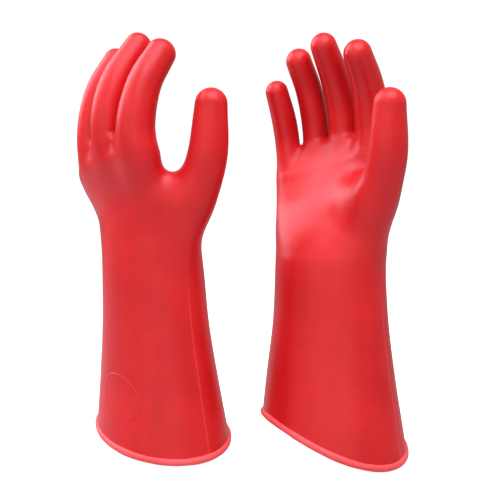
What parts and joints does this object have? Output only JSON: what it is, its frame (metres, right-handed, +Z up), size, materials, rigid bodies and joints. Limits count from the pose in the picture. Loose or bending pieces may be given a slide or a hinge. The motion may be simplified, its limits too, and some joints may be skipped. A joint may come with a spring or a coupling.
{
  "type": "electrical insulating gloves",
  "caption": "Pair of long red rubber insulating gloves, left and right, with cupped hands, flared gauntlets and rolled cuff edges, worn for electrical work.",
  "frame": {"origin": "midway between the two gloves, level with the lowest point of the cuffs' edges, where the wearer's forearms go in", "axes": "+Z up the forearms towards the fingertips, +X from the left glove to the right glove, +Y away from the side the pair is seen from"},
  "size_m": [0.271, 0.1269, 0.3418],
  "materials": {
    "glove_rubber": "satin",
    "bead_rubber": "satin",
    "label_rubber": "satin"
  },
  "bodies": {
    "left_cuff": {"left_cuff_bead": "bead_rubber", "left_gauntlet": "glove_rubber", "left_wrist": "glove_rubber", "left_label_patch": "label_rubber"},
    "left_hand": {"left_palm": "glove_rubber", "left_finger_pads": "glove_rubber", "left_hand_back": "glove_rubber", "left_knuckles": "glove_rubber", "left_thumb_root": "glove_rubber", "left_index_finger_root": "glove_rubber", "left_middle_finger_root": "glove_rubber", "left_ring_finger_root": "glove_rubber", "left_little_finger_root": "glove_rubber"},
    "left_thumb_body": {"left_thumb": "glove_rubber"},
    "left_index_finger_body": {"left_index_finger": "glove_rubber"},
    "left_middle_finger_body": {"left_middle_finger": "glove_rubber"},
    "left_ring_finger_body": {"left_ring_finger": "glove_rubber"},
    "left_little_finger_body": {"left_little_finger": "glove_rubber"},
    "right_cuff": {"right_cuff_bead": "bead_rubber", "right_gauntlet": "glove_rubber", "right_wrist": "glove_rubber"},
    "right_hand": {"right_palm": "glove_rubber", "right_finger_pads": "glove_rubber", "right_hand_back": "glove_rubber", "right_knuckles": "glove_rubber", "right_thumb_root": "glove_rubber", "right_index_finger_root": "glove_rubber", "right_middle_finger_root": "glove_rubber", "right_ring_finger_root": "glove_rubber", "right_little_finger_root": "glove_rubber"},
    "right_thumb_body": {"right_thumb": "glove_rubber"},
    "right_index_finger_body": {"right_index_finger": "glove_rubber"},
    "right_middle_finger_body": {"right_middle_finger": "glove_rubber"},
    "right_ring_finger_body": {"right_ring_finger": "glove_rubber"},
    "right_little_finger_body": {"right_little_finger": "glove_rubber"}
  },
  "joints": [
    {"name": "right_glove_lift", "type": "slide", "parent": "left_cuff", "child": "right_cuff", "axis": [0, 0, 1], "range_m": [0, 0.36]},
    {"name": "left_wrist_bend", "type": "hinge", "parent": "left_cuff", "child": "left_hand", "pos_m": [-0.0704, 0.0018, 0.1434], "axis": [-0.6361, 0.7716, 0], "range_deg": [-20, 20], "stiffness_Nm_per_rad": 6, "deforming": ["left_wrist"]},
    {"name": "left_thumb_bend", "type": "hinge", "parent": "left_hand", "child": "left_thumb_body", "pos_m": [-0.0266, -0.0349, 0.2438], "axis": [-0.948, 0.3182, 0], "range_deg": [-10, 30], "stiffness_Nm_per_rad": 0.6, "deforming": ["left_thumb_root"]},
    {"name": "left_index_finger_bend", "type": "hinge", "parent": "left_hand", "child": "left_index_finger_body", "pos_m": [-0.0804, -0.0336, 0.2751], "axis": [-0.6361, 0.7716, 0], "range_deg": [-10, 45], "stiffness_Nm_per_rad": 0.3, "deforming": ["left_index_finger_root"]},
    {"name": "left_middle_finger_bend", "type": "hinge", "parent": "left_hand", "child": "left_middle_finger_body", "pos_m": [-0.1045, -0.0147, 0.2735], "axis": [-0.6361, 0.7716, 0], "range_deg": [-10, 45], "stiffness_Nm_per_rad": 0.3, "deforming": ["left_middle_finger_root"]},
    {"name": "left_ring_finger_bend", "type": "hinge", "parent": "left_hand", "child": "left_ring_finger_body", "pos_m": [-0.1196, 0.0074, 0.2692], "axis": [-0.6361, 0.7716, 0], "range_deg": [-10, 45], "stiffness_Nm_per_rad": 0.3, "deforming": ["left_ring_finger_root"]},
    {"name": "left_little_finger_bend", "type": "hinge", "parent": "left_hand", "child": "left_little_finger_body", "pos_m": [-0.1249, 0.0307, 0.2639], "axis": [-0.6361, 0.7716, 0], "range_deg": [-10, 45], "stiffness_Nm_per_rad": 0.3, "deforming": ["left_little_finger_root"]},
    {"name": "right_wrist_bend", "type": "hinge", "parent": "right_cuff", "child": "right_hand", "pos_m": [0.0726, -0.0038, 0.1434], "axis": [0.829, -0.5592, 0], "range_deg": [-20, 20], "stiffness_Nm_per_rad": 6, "deforming": ["right_wrist"]},
    {"name": "right_thumb_bend", "type": "hinge", "parent": "right_hand", "child": "right_thumb_body", "pos_m": [0.1133, -0.0438, 0.2438], "axis": [0.4076, -0.9132, 0], "range_deg": [-10, 30], "stiffness_Nm_per_rad": 0.6, "deforming": ["right_thumb_root"]},
    {"name": "right_index_finger_bend", "type": "hinge", "parent": "right_hand", "child": "right_index_finger_body", "pos_m": [0.1069, 0.0096, 0.2751], "axis": [0.829, -0.5592, 0], "range_deg": [-10, 45], "stiffness_Nm_per_rad": 0.3, "deforming": ["right_index_finger_root"]},
    {"name": "right_middle_finger_bend", "type": "hinge", "parent": "right_hand", "child": "right_middle_finger_body", "pos_m": [0.0857, 0.0317, 0.2735], "axis": [0.829, -0.5592, 0], "range_deg": [-10, 45], "stiffness_Nm_per_rad": 0.3, "deforming": ["right_middle_finger_root"]},
    {"name": "right_ring_finger_bend", "type": "hinge", "parent": "right_hand", "child": "right_ring_finger_body", "pos_m": [0.0623, 0.0446, 0.2692], "axis": [0.829, -0.5592, 0], "range_deg": [-10, 45], "stiffness_Nm_per_rad": 0.3, "deforming": ["right_ring_finger_root"]},
    {"name": "right_little_finger_bend", "type": "hinge", "parent": "right_hand", "child": "right_little_finger_body", "pos_m": [0.0386, 0.0477, 0.2639], "axis": [0.829, -0.5592, 0], "range_deg": [-10, 45], "stiffness_Nm_per_rad": 0.3, "deforming": ["right_little_finger_root"]}
  ]
}
